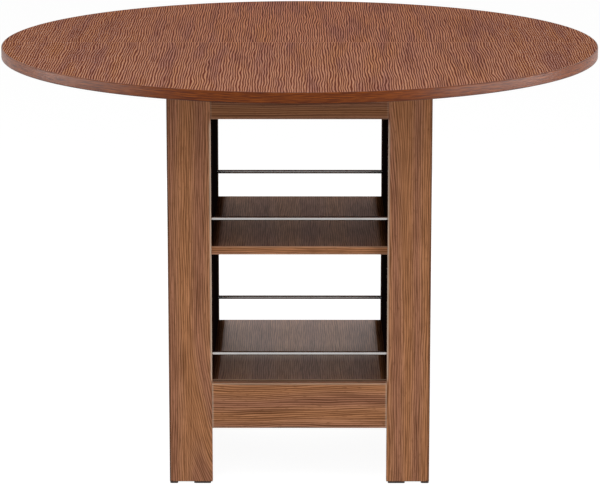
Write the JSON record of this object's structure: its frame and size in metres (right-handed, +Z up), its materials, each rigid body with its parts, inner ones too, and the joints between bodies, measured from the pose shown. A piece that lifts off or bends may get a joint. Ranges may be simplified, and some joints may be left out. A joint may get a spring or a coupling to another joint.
{
  "type": "dining table",
  "caption": "Round two-piece dining table on a square open-shelf storage base: hollow box legs, rails, shelves and steel gallery rods.",
  "frame": {"origin": "on the floor, below the centre of the round top, which is also the centre of the base", "axes": "+Z up; +X to the right and +Y to the back, seen from the front; the seam of the top runs along X"},
  "size_m": [1.067, 1.0668, 0.755],
  "materials": {
    "walnut_top": "satin walnut laminate with fine figure, grain front to back",
    "walnut_top_edge": "satin walnut edge strip, grain along the rim",
    "walnut_board": "satin walnut laminate, grain along the board",
    "walnut_shelf": "satin walnut laminate, grain front to back",
    "walnut_shelf_edge": "satin walnut edge strip, grain along the edge",
    "black_panel": "matt black laminate",
    "raw_board": "bare pressed board",
    "satin_steel": "satin steel",
    "plated_steel": "zinc-plated steel",
    "zinc_casting": "die-cast zinc alloy",
    "beech": "bare fluted beech",
    "glide_plastic": "dark brown plastic"
  },
  "bodies": {
    "root": {"apron_front": "walnut_board", "apron_rear": "walnut_board", "foot_glides": "glide_plastic", "glide_nails": "plated_steel", "inner_panel_left": "black_panel", "inner_panel_right": "black_panel", "lower_shelf": "walnut_shelf", "lower_shelf_band_front": "walnut_shelf_edge", "lower_shelf_band_rear": "walnut_shelf_edge", "outer_panel_left": "walnut_board", "outer_panel_right": "walnut_board", "pillar_dowels": "beech", "pillar_spacer_bottom_left": "raw_board", "pillar_spacer_bottom_right": "raw_board", "pillar_spacer_top_left": "raw_board", "pillar_spacer_top_right": "raw_board", "rail_cam_bolts": "plated_steel", "rail_cam_locks": "zinc_casting", "rail_dowels": "beech", "rod_lower_front": "satin_steel", "rod_lower_rear": "satin_steel", "rod_upper_front": "satin_steel", "rod_upper_rear": "satin_steel", "seam_dowels": "beech", "seam_plate_screws": "plated_steel", "seam_plates": "plated_steel", "shelf_cam_bolts": "plated_steel", "shelf_cam_locks": "zinc_casting", "shelf_dowels": "beech", "stile_front_left": "walnut_board", "stile_front_right": "walnut_board", "stile_rear_left": "walnut_board", "stile_rear_right": "walnut_board", "top_cam_bolts": "plated_steel", "top_cam_locks": "zinc_casting", "top_edge_band_front": "walnut_top_edge", "top_edge_band_rear": "walnut_top_edge", "top_half_front": "walnut_top", "top_half_rear": "walnut_top", "top_rail_front": "walnut_board", "top_rail_rear": "walnut_board", "upper_shelf": "walnut_shelf", "upper_shelf_band_front": "walnut_shelf_edge", "upper_shelf_band_rear": "walnut_shelf_edge"}
  },
  "joints": []
}
